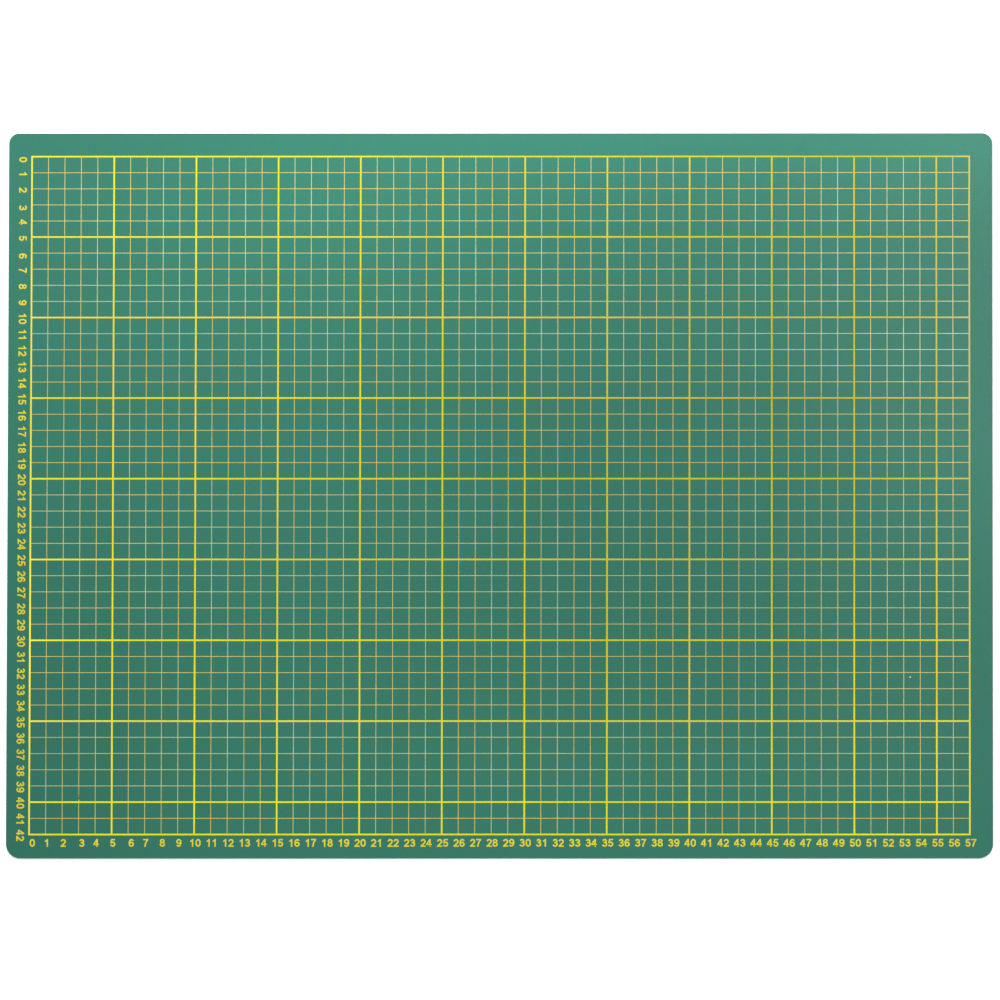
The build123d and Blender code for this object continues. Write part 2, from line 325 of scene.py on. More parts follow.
# ------------------------------------------------------------------ the five plies
def outline(step=5.0, corner=20):
    """Points round the mat, their outward normals, and the distance along the outline."""
    pts = []
    hx, hy = HALF_X, HALF_Y
    corners = [
        (hx - NEAR_RADIUS, -hy + NEAR_RADIUS, NEAR_RADIUS, -90),
        (hx - FAR_RADIUS, hy - FAR_RADIUS, FAR_RADIUS, 0),
        (-hx + FAR_RADIUS, hy - FAR_RADIUS, FAR_RADIUS, 90),
        (-hx + NEAR_RADIUS, -hy + NEAR_RADIUS, NEAR_RADIUS, 180),
    ]
    for k, (cx, cy, r, a0) in enumerate(corners):
        for i in range(corner + 1):
            a = math.radians(a0 + 90 * i / corner)
            pts.append((cx + r * math.cos(a), cy + r * math.sin(a), math.cos(a), math.sin(a)))
        nx, ny, nr, na = corners[(k + 1) % 4]
        a = math.radians(a0 + 90)
        p = np.array([cx + r * math.cos(a), cy + r * math.sin(a)])
        q = np.array([nx + nr * math.cos(a), ny + nr * math.sin(a)])
        n = max(int(np.linalg.norm(q - p) / step), 1)
        for i in range(1, n):
            x, y = p + (q - p) * i / n
            pts.append((x, y, math.cos(a), math.sin(a)))
    pts = np.array(pts)
    run = np.r_[0, np.cumsum(np.hypot(*(pts[1:, :2] - pts[:-1, :2]).T))]
    return pts[:, :2], pts[:, 2:], run


OUT_P, OUT_N, OUT_S = outline()


def ply(name, profile, seed, waver):
    """A sheet of the mat's outline. profile lists (inset, z) from the underside's rim round the cut edge to the top's rim."""
    n = len(OUT_P)
    drift = np.array(
        [
            abs(wander(x, y, 34.0, seed, waver)) + abs(wander(x, y, 6.0, seed + 5, waver * 0.5))
            for x, y in OUT_P
        ]
    )
    verts = []
    for inset, z in profile:
        edge = max(0.0, 1.0 - inset / 0.6)  # the wander fades away from the cut edge
        rim = OUT_P - OUT_N * (inset + drift * edge)[:, None]
        verts += [(x, y, z) for x, y in rim]
    faces = []
    rings = len(profile)
    for r in range(rings - 1):
        for i in range(n):
            j = (i + 1) % n
            faces.append((r * n + i, r * n + j, (r + 1) * n + j, (r + 1) * n + i))
    faces.append(tuple(reversed(range(n))))
    faces.append(tuple(range((rings - 1) * n, rings * n)))
    return new_object(name, verts, faces)


def soft_edge(r, inset0, z_edge, z_face, up, steps=5):
    """A quarter round from the cut edge to the face."""
    out = []
    for k in range(steps + 1):
        a = math.pi / 2 * k / steps
        out.append((inset0 + r - r * math.cos(a), z_face - up * (r - r * math.sin(a))))
    return out


def build_plies():
    made = {}
    z = {n: (node_box(n)[0][2], node_box(n)[1][2]) for n in PLY_NODES}
    # printed face: a soft arris above, a small pressed-out lip above the joint below
    lo, hi = z["top_cutting_ply"]
    prof = [(2.0, lo), (0.10, lo), (0.03, lo + 0.06), (0.0, lo + 0.20)]
    prof += soft_edge(0.28, 0.0, hi - 0.28, hi, 1)
    prof += [(0.9, hi), (3.0, hi)]
    made["top_cutting_ply"] = ply("top_ply_green_pvc", prof, 1, 0.035)
    lo, hi = z["upper_inner_ply"]
    prof = [(2.0, lo), (0.08, lo), (0.04, lo + 0.06), (0.03, lo + 0.25), (0.05, hi - 0.06), (0.10, hi), (2.0, hi)]
    made["upper_inner_ply"] = ply("upper_inner_ply_white_pvc", prof, 2, 0.03)
    lo, hi = z["rigid_core_ply"]
    prof = [(2.0, lo), (0.05, lo), (0.0, lo + 0.05), (0.0, hi - 0.05), (0.05, hi), (2.0, hi)]
    made["rigid_core_ply"] = ply("hard_core_ply", prof, 3, 0.02)
    lo, hi = z["lower_inner_ply"]
    prof = [(2.0, lo), (0.10, lo), (0.05, lo + 0.06), (0.03, hi - 0.25), (0.04, hi - 0.06), (0.08, hi), (2.0, hi)]
    made["lower_inner_ply"] = ply("lower_inner_ply_white_pvc", prof, 4, 0.03)
    lo, hi = z["bottom_cutting_ply"]
    prof = [(3.0, lo), (0.9, lo)]
    prof += [(i, lo + (hi - lo) - (zz - lo)) for i, zz in reversed(soft_edge(0.28, 0.0, 0, hi, 1))]
    prof += [(0.0, hi - 0.20), (0.03, hi - 0.06), (0.10, hi), (2.0, hi)]
    made["bottom_cutting_ply"] = ply("bottom_ply_green_pvc", prof, 5, 0.035)
    return made


PLY_NODES = (
    "top_cutting_ply",
    "upper_inner_ply",
    "rigid_core_ply",
    "lower_inner_ply",
    "bottom_cutting_ply",
)


# ------------------------------------------------------------------ the printed lines
def printed(x, y):
    """Where the screen really put a point of the print: it creeps a little, and lines swell and thin."""
    u = x - (round((x - X0) / PITCH) * PITCH + X0)
    v = y - (Y0 - round((Y0 - y) / PITCH) * PITCH)
    swell = wander(x, y, 14.0, 21, 0.07)
    if abs(u) <= BOLD_HALF + 0.01:
        x += u * swell
    if abs(v) <= BOLD_HALF + 0.01:
        y += v * swell
    return (
        x + wander(x, y, 60.0, 23, 0.05),
        y + wander(x, y, 60.0, 25, 0.05),
    )


def bead(d, half, shoulder):
    """Height of the ink at d from the middle of a line."""
    t = max(0.0, (abs(d) - (half - shoulder)) / shoulder)
    return (INK_TOP - FACE_Z) * math.sqrt(max(0.0, 1.0 - 0.78 * t * t))


def samples(lo, hi, centres, half, shoulder, step, extra=()):
    """Places along one axis: each line's edges, shoulders and middle, and even steps between lines."""
    marks = sorted([lo + 0.15, hi - 0.15, *extra])  # the ends stay crisp
    out, inside = [], []
    cuts = [lo]
    for c in sorted(centres):
        cuts += [c - half, c + half]
    cuts.append(hi)
    for k in range(0, len(cuts), 2):
        a, b = cuts[k], cuts[k + 1]
        ms = [a] + [m for m in marks if a + 1e-6 < m < b - 1e-6] + [b]
        for p, q in zip(ms, ms[1:]):
            n = max(1, round((q - p) / step))
            for i in range(n):
                out.append(p + (q - p) * i / n)
                inside.append(False)
        if k + 2 < len(cuts):
            c = (cuts[k + 1] + cuts[k + 2]) / 2
            row = [c - half, c - half + shoulder, c, c + half - shoulder]
            if shoulder >= half:
                row = [c - half, c]
            for r in row:
                out.append(r)
                inside.append(True)
    out.append(hi)
    return np.array(out), np.array(inside)


def lattice(x_lo, x_hi, y_lo, y_hi, xcs, ycs, half, shoulder, step, skip=None, extra_y=()):
    """Crossing printed lines as one closed bead. Returns vertices and faces."""
    xs, xin = samples(x_lo, x_hi, xcs, half, shoulder, step)
    ys, yin = samples(y_lo, y_hi, ycs, half, shoulder, step, extra_y)
    nx, ny = len(xs), len(ys)
    cell = xin[:, None] | yin[None, :]
    if skip:
        for a in range(nx - 1):
            for b in range(ny - 1):
                if cell[a, b] and skip((xs[a] + xs[a + 1]) / 2, (ys[b] + ys[b + 1]) / 2):
                    cell[a, b] = False
    hx = np.full(nx, -1.0)
    hy = np.full(ny, -1.0)
    for k, x in enumerate(xs):
        d = min((abs(x - c) for c in xcs), default=99)
        if d <= half + 1e-6:
            hx[k] = bead(d, half, shoulder)
    for k, y in enumerate(ys):
        d = min((abs(y - c) for c in ycs), default=99)
        if d <= half + 1e-6:
            hy[k] = bead(d, half, shoulder)
    index, verts = {}, []

    def vert(a, b, low):
        key = (a, b, low)
        if key not in index:
            x, y = printed(float(xs[a]), float(ys[b]))
            z = FACE_Z - SINK if low else FACE_Z + max(hx[a], hy[b], 0.01)
            index[key] = len(verts)
            verts.append((x, y, z))
        return index[key]

    faces = []
    for a in range(nx - 1):
        for b in range(ny - 1):
            if not cell[a, b]:
                continue
            q = ((a, b), (a + 1, b), (a + 1, b + 1), (a, b + 1))
            faces.append(tuple(vert(i, j, False) for i, j in q))
            faces.append(tuple(vert(i, j, True) for i, j in reversed(q)))
            for (p, r), (da, db) in zip(
                ((q[0], q[1]), (q[1], q[2]), (q[2], q[3]), (q[3], q[0])),
                ((0, -1), (1, 0), (0, 1), (-1, 0)),
            ):
                i, j = a + da, b + db
                if 0 <= i < nx - 1 and 0 <= j < ny - 1 and cell[i, j]:
                    continue
                faces.append((vert(*p, True), vert(*r, True), vert(*r, False), vert(*p, False)))
    return verts, faces


def merge(parts):
    verts, faces = [], []
    for v, f in parts:
        n = len(verts)
        verts += v
        faces += [tuple(i + n for i in q) for q in f]
    return verts, faces


def line_x(i):
    return X0 + PITCH * i


def line_y(j):
    return Y0 - PITCH * j


def border():
    """The closed border, one bead round the grid with mitred corners."""
    step = 5.0
    across = [-BOLD_HALF, -BOLD_HALF + 0.14, 0.0, BOLD_HALF - 0.14, BOLD_HALF]
    ring = []
    corners = [(X0, -Y0), (-X0, -Y0), (-X0, Y0), (X0, Y0)]
    for k in range(4):
        (ax, ay), (bx, by) = corners[k], corners[(k + 1) % 4]
        n = int(max(abs(bx - ax), abs(by - ay)) / step)
        for i in range(n):
            t = i / n
            x, y = ax + (bx - ax) * t, ay + (by - ay) * t
            if i == 0:
                out = np.array([np.sign(ax), np.sign(ay)], float)
            else:
                out = np.array([(by - ay), -(bx - ax)], float)
                out /= np.linalg.norm(out)
            ring.append((x, y, out))
    n, w = len(ring), len(across)
    verts, faces = [], []
    for low in (False, True):
        for x, y, out in ring:
            for d in across:
                px, py = printed(x + out[0] * d, y + out[1] * d)
                z = FACE_Z - SINK if low else FACE_Z + bead(d, BOLD_HALF, 0.14)
                verts.append((px, py, z))
    low0 = n * w
    for i in range(n):
        j = (i + 1) % n
        for k in range(w - 1):
            a, b, c, d = i * w + k, i * w + k + 1, j * w + k + 1, j * w + k
            faces.append((a, b, c, d))
            faces.append((low0 + d, low0 + c, low0 + b, low0 + a))
        faces.append((i * w + w - 1, low0 + i * w + w - 1, low0 + j * w + w - 1, j * w + w - 1))
        faces.append((low0 + i * w, i * w, j * w, low0 + j * w))
    return verts, faces


def bold_lines():
    xcs = [line_x(i) for i in range(BOLD_EVERY, COLUMNS, BOLD_EVERY)]
    ycs = [line_y(j) for j in range(BOLD_EVERY, ROWS, BOLD_EVERY)]
    return lattice(
        X0 + BOLD_HALF, -X0 - BOLD_HALF, -Y0 + BOLD_HALF, Y0 - BOLD_HALF, xcs, ycs, BOLD_HALF, 0.14, 5.0
    )


def fine_lines():
    """One lattice in each block of the bold grid, with the one short break in line 3 of the bottom scale."""
    gap_x, gap_lo, gap_hi = line_x(3), line_y(40) + 1.75, line_y(40) + 2.95
    parts = []
    for i in range(0, COLUMNS, BOLD_EVERY):
        i2 = min(i + BOLD_EVERY, COLUMNS)
        for j in range(0, ROWS, BOLD_EVERY):
            j2 = min(j + BOLD_EVERY, ROWS)
            xcs = [line_x(k) for k in range(i + 1, i2)]
            ycs = [line_y(k) for k in range(j + 1, j2)]
            here = i == 0 and j2 == 40
            parts.append(
                lattice(
                    line_x(i) + BOLD_HALF,
                    line_x(i2) - BOLD_HALF,
                    line_y(j2) + BOLD_HALF,
                    line_y(j) - BOLD_HALF,
                    xcs,
                    ycs,
                    FINE_HALF,
                    FINE_HALF,
                    5.0,
                    skip=(lambda x, y: abs(x - gap_x) < 1 and gap_lo < y < gap_hi) if here else None,
                    extra_y=(gap_lo, gap_hi) if here else (),
                )
            )
    return merge(parts)


# ------------------------------------------------------------------ the printed numbers
DIGITS = {
    0: [
        [
            (1.53,-0.4),(1.53,0.4),(1.515,0.674),(1.469,0.944),(1.393,1.207),(1.285,1.459),(1.144,1.695),(0.971,1.907),
            (0.766,2.088),(0.531,2.229),(0.272,2.319),(0,2.35),(-0.248,2.324),(-0.485,2.249),(-0.704,2.131),(-0.9,1.977),
            (-1.069,1.794),(-1.212,1.59),(-1.328,1.369),(-1.417,1.136),(-1.48,0.895),(-1.517,0.649),(-1.53,0.4),
            (-1.53,-0.4),(-1.515,-0.674),(-1.469,-0.944),(-1.393,-1.207),(-1.285,-1.459),(-1.144,-1.695),(-0.971,-1.907),
            (-0.766,-2.088),(-0.531,-2.229),(-0.272,-2.319),(0,-2.35),(0.272,-2.319),(0.531,-2.229),(0.766,-2.088),
            (0.971,-1.907),(1.144,-1.695),(1.285,-1.459),(1.393,-1.207),(1.469,-0.944),(1.515,-0.674),
        ],
        [
            (-0.77,0.4),(-0.763,0.556),(-0.743,0.71),(-0.71,0.862),(-0.661,1.01),(-0.597,1.152),(-0.515,1.284),
            (-0.415,1.403),(-0.294,1.5),(-0.153,1.566),(0,1.59),(0.153,1.566),(0.294,1.5),(0.415,1.403),(0.515,1.284),
            (0.597,1.152),(0.661,1.01),(0.71,0.862),(0.743,0.71),(0.763,0.556),(0.77,0.4),(0.77,-0.4),(0.764,-0.548),
            (0.746,-0.695),(0.715,-0.84),(0.672,-0.982),(0.614,-1.118),(0.541,-1.247),(0.451,-1.365),(0.342,-1.466),
            (0.216,-1.542),(0.074,-1.585),(-0.074,-1.585),(-0.216,-1.542),(-0.342,-1.466),(-0.451,-1.365),(-0.541,-1.247),
            (-0.614,-1.118),(-0.672,-0.982),(-0.715,-0.84),(-0.746,-0.695),(-0.764,-0.548),(-0.77,-0.4),
        ],
    ],
    1: [
        [
            (0.71,-2.35),(0.71,2.35),(0.2,2.35),(0.003,2.072),(-0.227,1.822),(-0.488,1.602),(-0.773,1.417),(-1.08,1.27),
            (-1.08,0.6),(-0.711,0.749),(-0.365,0.947),(-0.05,1.19),(-0.05,-2.35),
        ],
    ],
    2: [
        [
            (1.136,-0.194),(1.281,-0.007),(1.394,0.2),(1.475,0.422),(1.52,0.654),(1.529,0.889),(1.502,1.124),
            (1.438,1.351),(1.341,1.566),(1.212,1.764),(1.053,1.938),(0.87,2.087),(0.665,2.204),(0.445,2.289),
            (0.214,2.337),(-0.022,2.349),(-0.257,2.324),(-0.484,2.263),(-0.7,2.166),(-0.897,2.037),(-1.073,1.879),
            (-1.221,1.696),(-1.339,1.492),(-1.425,1.272),(-1.475,1.041),(-1.099,0.989),(-0.723,0.936),(-0.698,1.051),
            (-0.656,1.16),(-0.597,1.262),(-0.524,1.353),(-0.438,1.432),(-0.34,1.497),(-0.234,1.545),(-0.121,1.577),
            (-0.004,1.59),(0.113,1.584),(0.227,1.56),(0.337,1.519),(0.439,1.461),(0.53,1.387),(0.609,1.301),(0.673,1.203),
            (0.722,1.097),(0.754,0.984),(0.769,0.868),(0.766,0.751),(0.745,0.636),(0.707,0.525),(0.652,0.421),
            (0.582,0.327),(-1.219,-1.482),(-1.04,-1.66),(-1.53,-1.66),(-1.53,-2.35),(1.53,-2.35),(1.53,-1.66),
            (-0.324,-1.66),
        ],
    ],
    3: [
        [
            (0.97,0.191),(1.1,0.347),(1.204,0.521),(1.278,0.71),(1.321,0.909),(1.329,1.112),(1.303,1.314),(1.244,1.508),
            (1.154,1.691),(1.036,1.856),(0.894,2.001),(0.732,2.123),(0.553,2.221),(0.362,2.291),(0.164,2.334),
            (-0.039,2.35),(-0.242,2.338),(-0.441,2.297),(-0.633,2.23),(-0.813,2.135),(-0.977,2.016),(-1.122,1.873),
            (-1.243,1.71),(-1.336,1.529),(-1.398,1.336),(-1.028,1.249),(-0.658,1.163),(-0.629,1.248),(-0.585,1.326),
            (-0.529,1.396),(-0.462,1.456),(-0.386,1.505),(-0.305,1.543),(-0.219,1.57),(-0.131,1.585),(-0.041,1.59),
            (0.049,1.583),(0.137,1.565),(0.222,1.536),(0.302,1.496),(0.376,1.444),(0.441,1.382),(0.495,1.311),
            (0.537,1.231),(0.562,1.145),(0.57,1.055),(0.56,0.966),(0.533,0.881),(0.491,0.801),(0.435,0.731),(0.369,0.67),
            (0.294,0.62),(0.213,0.581),(0.128,0.552),(0.04,0.536),(-0.05,0.53),(-0.47,0.53),(-0.47,-0.23),(-0.03,-0.23),
            (0.085,-0.237),(0.197,-0.259),(0.306,-0.295),(0.409,-0.346),(0.504,-0.41),(0.589,-0.488),(0.659,-0.579),
            (0.713,-0.68),(0.747,-0.789),(0.76,-0.903),(0.75,-1.018),(0.718,-1.128),(0.666,-1.23),(0.597,-1.322),
            (0.515,-1.402),(0.421,-1.468),(0.319,-1.52),(0.21,-1.558),(0.098,-1.581),(-0.017,-1.59),(-0.131,-1.584),
            (-0.244,-1.564),(-0.354,-1.53),(-0.458,-1.481),(-0.554,-1.418),(-0.64,-1.342),(-0.712,-1.252),(-0.768,-1.152),
            (-0.804,-1.044),(-1.174,-1.13),(-1.544,-1.217),(-1.475,-1.432),(-1.371,-1.633),(-1.236,-1.815),
            (-1.075,-1.974),(-0.892,-2.107),(-0.691,-2.213),(-0.478,-2.289),(-0.257,-2.335),(-0.031,-2.35),(0.195,-2.335),
            (0.417,-2.289),(0.63,-2.213),(0.83,-2.108),(1.013,-1.975),(1.175,-1.817),(1.31,-1.635),(1.414,-1.434),
            (1.484,-1.219),(1.517,-0.995),(1.513,-0.769),(1.47,-0.547),(1.391,-0.335),(1.279,-0.138),(1.137,0.038),
        ],
    ],
    4: [
        [
            (-1.68,-1.3),(0.16,-1.3),(0.16,-2.35),(0.92,-2.35),(0.92,-1.3),(1.45,-1.3),(1.45,-0.6),(0.92,-0.6),
            (0.92,2.35),(0.22,2.35),(-1.68,-0.55),
        ],
        [
            (-1,-0.6),(0.16,1.1),(0.16,-0.6),
        ],
    ],
    5: [
        [
            (-1.43,-0.12),(-0.882,-0.187),(-0.755,-0.271),(-0.628,-0.354),(-0.554,-0.26),(-0.467,-0.177),(-0.368,-0.109),
            (-0.26,-0.058),(-0.145,-0.024),(-0.025,-0.01),(0.094,-0.016),(0.212,-0.041),(0.323,-0.085),(0.427,-0.146),
            (0.519,-0.223),(0.598,-0.313),(0.663,-0.414),(0.712,-0.523),(0.744,-0.639),(0.759,-0.758),(0.756,-0.878),
            (0.736,-0.996),(0.699,-1.11),(0.645,-1.218),(0.576,-1.315),(0.492,-1.402),(0.397,-1.474),(0.291,-1.53),
            (0.177,-1.568),(0.058,-1.588),(-0.061,-1.587),(-0.18,-1.568),(-0.293,-1.529),(-0.399,-1.472),(-0.495,-1.4),
            (-0.578,-1.313),(-0.647,-1.215),(-0.7,-1.108),(-0.737,-0.993),(-1.106,-1.083),(-1.475,-1.173),(-1.403,-1.395),
            (-1.299,-1.605),(-1.164,-1.796),(-1.002,-1.965),(-0.816,-2.108),(-0.611,-2.219),(-0.39,-2.298),(-0.16,-2.341),
            (0.074,-2.348),(0.306,-2.318),(0.531,-2.253),(0.742,-2.153),(0.936,-2.021),(1.107,-1.862),(1.252,-1.678),
            (1.368,-1.475),(1.453,-1.256),(1.503,-1.028),(1.52,-0.794),(1.502,-0.561),(1.449,-0.333),(1.364,-0.115),
            (1.246,0.087),(1.1,0.27),(0.927,0.428),(0.733,0.558),(0.52,0.656),(0.295,0.72),(0.063,0.749),(-0.171,0.74),
            (-0.401,0.695),(-0.621,0.615),(-0.43,1.66),(1.3,1.66),(1.3,2.35),(-0.98,2.35),
        ],
    ],
    6: [
        [
            (1.53,-0.83),(1.513,-0.604),(1.462,-0.383),(1.379,-0.172),(1.265,0.025),(1.123,0.202),(0.957,0.356),
            (0.769,0.484),(0.565,0.582),(0.349,0.65),(0.124,0.685),(-0.102,0.687),(-0.327,0.655),(-0.545,0.59),
            (-0.75,0.495),(-0.728,0.627),(-0.697,0.758),(-0.658,0.886),(-0.608,1.011),(-0.549,1.132),(-0.479,1.246),
            (-0.396,1.352),(-0.301,1.446),(-0.191,1.523),(-0.067,1.574),(0.066,1.59),(0.2,1.575),(0.328,1.538),
            (0.448,1.478),(0.554,1.395),(0.64,1.292),(0.7,1.173),(1.058,1.3),(1.416,1.427),(1.305,1.663),(1.149,1.873),
            (0.957,2.049),(0.735,2.188),(0.493,2.285),(0.237,2.339),(-0.024,2.348),(-0.281,2.303),(-0.524,2.207),
            (-0.743,2.065),(-0.936,1.888),(-1.099,1.685),(-1.235,1.461),(-1.343,1.223),(-1.426,0.975),(-1.484,0.72),
            (-1.519,0.461),(-1.53,0.2),(-1.53,-0.83),(-1.513,-1.057),(-1.462,-1.279),(-1.378,-1.491),(-1.263,-1.688),
            (-1.12,-1.866),(-0.952,-2.02),(-0.763,-2.147),(-0.557,-2.246),(-0.339,-2.312),(-0.114,-2.346),(0.114,-2.346),
            (0.339,-2.312),(0.557,-2.246),(0.763,-2.147),(0.952,-2.02),(1.12,-1.866),(1.263,-1.688),(1.378,-1.491),
            (1.462,-1.279),(1.513,-1.057),
        ],
        [
            (0.77,-0.83),(0.76,-0.95),(0.732,-1.066),(0.685,-1.177),(0.622,-1.279),(0.543,-1.369),(0.451,-1.446),
            (0.348,-1.508),(0.237,-1.553),(0.12,-1.581),(-0,-1.59),(-0.12,-1.581),(-0.237,-1.553),(-0.348,-1.508),
            (-0.451,-1.446),(-0.543,-1.369),(-0.622,-1.279),(-0.685,-1.177),(-0.732,-1.066),(-0.76,-0.95),(-0.77,-0.83),
            (-0.761,-0.716),(-0.735,-0.605),(-0.693,-0.498),(-0.635,-0.4),(-0.563,-0.311),(-0.478,-0.234),(-0.383,-0.171),
            (-0.28,-0.122),(-0.17,-0.089),(-0.057,-0.072),(0.057,-0.072),(0.17,-0.089),(0.28,-0.122),(0.383,-0.171),
            (0.478,-0.234),(0.563,-0.311),(0.635,-0.4),(0.693,-0.498),(0.735,-0.605),(0.761,-0.716),
        ],
    ],
    7: [
        [
            (1.5,2.35),(-1.49,2.35),(-1.49,1.66),(0.6,1.66),(0.021,0.748),(-0.422,-0.239),(-0.717,-1.279),(-0.86,-2.35),
            (-0.08,-2.35),(0.009,-1.451),(0.217,-0.571),(0.538,0.274),(0.969,1.069),(1.5,1.8),
        ],
    ],
    8: [
        [
            (0.762,0.171),(0.906,0.267),(1.037,0.382),(1.15,0.513),(1.243,0.66),(1.313,0.819),(1.355,0.987),(1.37,1.16),
            (1.352,1.353),(1.298,1.539),(1.213,1.713),(1.099,1.87),(0.962,2.008),(0.806,2.123),(0.635,2.215),
            (0.453,2.283),(0.264,2.328),(0.071,2.348),(-0.123,2.345),(-0.315,2.318),(-0.502,2.267),(-0.681,2.193),
            (-0.848,2.094),(-1,1.973),(-1.132,1.831),(-1.238,1.669),(-1.316,1.491),(-1.36,1.302),(-1.369,1.109),
            (-1.341,0.917),(-1.279,0.733),(-1.185,0.563),(-1.065,0.411),(-0.922,0.28),(-0.762,0.171),(-0.946,0.061),
            (-1.112,-0.073),(-1.257,-0.231),(-1.376,-0.409),(-1.463,-0.605),(-1.515,-0.813),(-1.53,-1.026),
            (-1.506,-1.239),(-1.445,-1.444),(-1.35,-1.636),(-1.224,-1.81),(-1.074,-1.962),(-0.902,-2.09),(-0.715,-2.194),
            (-0.515,-2.271),(-0.307,-2.323),(-0.094,-2.347),(0.12,-2.346),(0.333,-2.318),(0.54,-2.263),(0.738,-2.182),
            (0.924,-2.076),(1.093,-1.945),(1.241,-1.79),(1.363,-1.613),(1.454,-1.42),(1.511,-1.213),(1.53,-1),
            (1.516,-0.816),(1.474,-0.637),(1.405,-0.466),(1.313,-0.307),(1.199,-0.162),(1.068,-0.033),(0.921,0.078),
        ],
        [
            (0.78,-0.91),(0.771,-1.028),(0.743,-1.142),(0.697,-1.251),(0.635,-1.351),(0.558,-1.441),(0.469,-1.517),
            (0.369,-1.58),(0.261,-1.626),(0.147,-1.656),(0.029,-1.669),(-0.088,-1.665),(-0.204,-1.643),(-0.316,-1.605),
            (-0.42,-1.55),(-0.515,-1.481),(-0.599,-1.397),(-0.668,-1.302),(-0.722,-1.197),(-0.759,-1.085),(-0.778,-0.969),
            (-0.778,-0.851),(-0.759,-0.735),(-0.722,-0.623),(-0.668,-0.518),(-0.599,-0.423),(-0.515,-0.339),(-0.42,-0.27),
            (-0.316,-0.215),(-0.204,-0.177),(-0.088,-0.155),(0.029,-0.151),(0.147,-0.164),(0.261,-0.194),(0.369,-0.24),
            (0.469,-0.303),(0.558,-0.379),(0.635,-0.469),(0.697,-0.569),(0.743,-0.678),(0.771,-0.792),
        ],
        [
            (0.63,1.12),(0.622,1.029),(0.597,0.941),(0.558,0.859),(0.505,0.785),(0.441,0.72),(0.368,0.665),(0.288,0.622),
            (0.202,0.59),(0.114,0.569),(0.023,0.56),(-0.068,0.563),(-0.158,0.578),(-0.246,0.604),(-0.329,0.642),
            (-0.405,0.691),(-0.474,0.751),(-0.533,0.821),(-0.579,0.9),(-0.611,0.985),(-0.628,1.074),(-0.628,1.166),
            (-0.611,1.255),(-0.579,1.34),(-0.533,1.419),(-0.474,1.489),(-0.405,1.549),(-0.329,1.598),(-0.246,1.636),
            (-0.158,1.662),(-0.068,1.677),(0.023,1.68),(0.114,1.671),(0.202,1.65),(0.288,1.618),(0.368,1.575),
            (0.441,1.52),(0.505,1.455),(0.558,1.381),(0.597,1.299),(0.622,1.211),
        ],
    ],
    9: [
        [
            (-1.53,0.83),(-1.513,0.604),(-1.462,0.383),(-1.379,0.172),(-1.265,-0.025),(-1.123,-0.202),(-0.957,-0.356),
            (-0.769,-0.484),(-0.565,-0.582),(-0.349,-0.65),(-0.124,-0.685),(0.102,-0.687),(0.327,-0.655),(0.545,-0.59),
            (0.75,-0.495),(0.728,-0.627),(0.697,-0.758),(0.658,-0.886),(0.608,-1.011),(0.549,-1.132),(0.479,-1.246),
            (0.396,-1.352),(0.301,-1.446),(0.191,-1.523),(0.067,-1.574),(-0.066,-1.59),(-0.2,-1.575),(-0.328,-1.538),
            (-0.448,-1.478),(-0.554,-1.395),(-0.64,-1.292),(-0.7,-1.173),(-1.058,-1.3),(-1.416,-1.427),(-1.305,-1.663),
            (-1.149,-1.873),(-0.957,-2.049),(-0.735,-2.188),(-0.493,-2.285),(-0.237,-2.339),(0.024,-2.348),(0.281,-2.303),
            (0.524,-2.207),(0.743,-2.065),(0.936,-1.888),(1.099,-1.685),(1.235,-1.461),(1.343,-1.223),(1.426,-0.975),
            (1.484,-0.72),(1.519,-0.461),(1.53,-0.2),(1.53,0.83),(1.511,1.069),(1.455,1.301),(1.362,1.522),(1.236,1.725),
            (1.08,1.907),(0.897,2.061),(0.693,2.185),(0.471,2.276),(0.239,2.331),(0,2.35),(-0.239,2.331),(-0.471,2.276),
            (-0.693,2.185),(-0.897,2.061),(-1.08,1.907),(-1.236,1.725),(-1.362,1.522),(-1.455,1.301),(-1.511,1.069),
        ],
        [
            (-0.77,0.83),(-0.761,0.944),(-0.735,1.055),(-0.693,1.162),(-0.635,1.26),(-0.563,1.349),(-0.478,1.426),
            (-0.383,1.489),(-0.28,1.538),(-0.17,1.571),(-0.057,1.588),(0.057,1.588),(0.17,1.571),(0.28,1.538),
            (0.383,1.489),(0.478,1.426),(0.563,1.349),(0.635,1.26),(0.693,1.162),(0.735,1.055),(0.761,0.944),(0.77,0.83),
            (0.761,0.716),(0.735,0.605),(0.693,0.498),(0.635,0.4),(0.563,0.311),(0.478,0.234),(0.383,0.171),(0.28,0.122),
            (0.17,0.089),(0.057,0.072),(-0.057,0.072),(-0.17,0.089),(-0.28,0.122),(-0.383,0.171),(-0.478,0.234),
            (-0.563,0.311),(-0.635,0.4),(-0.693,0.498),(-0.735,0.605),(-0.761,0.716),
        ],
    ],
}

DIGIT_ADVANCE = 3.63
BOTTOM_Y = -ROWS * PITCH / 2 - 5.15
LEFT_X = -COLUMNS * PITCH / 2 - 5.35


